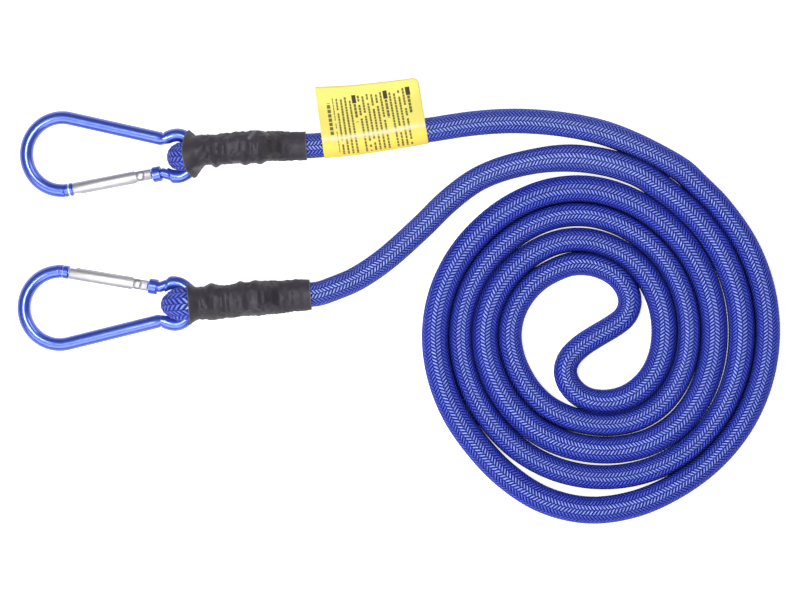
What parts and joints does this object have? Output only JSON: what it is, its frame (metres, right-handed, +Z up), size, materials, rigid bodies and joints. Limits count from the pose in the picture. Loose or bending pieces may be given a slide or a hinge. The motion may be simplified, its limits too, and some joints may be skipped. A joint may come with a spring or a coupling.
{
  "type": "bungee cord",
  "caption": "Braided elastic cord wound in a flat spiral, with a snap hook looped and sleeved on each end and a folded film tag.",
  "frame": {"origin": "on the table under the middle of the two hook ends", "axes": "+X from the hooks to the coil, +Y from the plain end to the tagged end, +Z up from the table"},
  "size_m": [0.3046, 0.1784, 0.0278],
  "materials": {
    "anodised_blue": "anodised",
    "gate_steel": "satin",
    "wire_steel": "drawn",
    "braid": "braided",
    "latex": "matt",
    "sleeve_black": "matt",
    "tag_film": "satin"
  },
  "bodies": {
    "cord_and_hooks": {"hook_frame_a": "anodised_blue", "hook_frame_b": "anodised_blue", "cord_end_sheath_a": "braid", "cord_end_core_a": "latex", "clamp_ring_a1": "wire_steel", "clamp_ring_a2": "wire_steel", "clamp_ring_a3": "wire_steel", "shrink_sleeve_a": "sleeve_black", "cord_end_sheath_b": "braid", "cord_end_core_b": "latex", "clamp_ring_b1": "wire_steel", "clamp_ring_b2": "wire_steel", "clamp_ring_b3": "wire_steel", "shrink_sleeve_b": "sleeve_black", "coil_sheath": "braid", "coil_core": "latex", "lead_sheath_a": "braid", "lead_core_a": "latex", "lead_sheath_b": "braid", "lead_core_b": "latex", "tag": "tag_film"},
    "gate_of_hook_a": {"gate_a": "gate_steel", "gate_rivet_a": "gate_steel", "gate_spring_a": "wire_steel"},
    "pusher_of_hook_a": {"gate_pusher_a": "wire_steel"},
    "gate_of_hook_b": {"gate_b": "gate_steel", "gate_rivet_b": "gate_steel", "gate_spring_b": "wire_steel"},
    "pusher_of_hook_b": {"gate_pusher_b": "wire_steel"}
  },
  "joints": [
    {"name": "gate_a_swing", "type": "hinge", "parent": "cord_and_hooks", "child": "gate_of_hook_a", "pos_m": [-0.00904, 0.02211, 0.01023], "axis": [0.1609, -0.0028, -0.987], "range_deg": [0, 35], "stiffness_Nm_per_rad": 0.05, "springref_deg": -34.38},
    {"name": "pusher_a_slide", "type": "slide", "parent": "gate_of_hook_a", "child": "pusher_of_hook_a", "axis": [-0.9705, -0.1825, -0.1577], "range_m": [0, 0.0005]},
    {"name": "gate_b_swing", "type": "hinge", "parent": "cord_and_hooks", "child": "gate_of_hook_b", "pos_m": [-0.0102, -0.02108, 0.01023], "axis": [-0.1608, -0.0062, 0.987], "range_deg": [0, 35], "stiffness_Nm_per_rad": 0.05, "springref_deg": -34.38},
    {"name": "pusher_b_slide", "type": "slide", "parent": "gate_of_hook_b", "child": "pusher_of_hook_b", "axis": [-0.9741, 0.1621, -0.1577], "range_m": [0, 0.0005]}
  ],
  "couplings": [
    {"joint": "pusher_a_slide", "follows": "gate_a_swing", "m_per_rad": 0.00065},
    {"joint": "pusher_b_slide", "follows": "gate_b_swing", "m_per_rad": 0.00065}
  ]
}
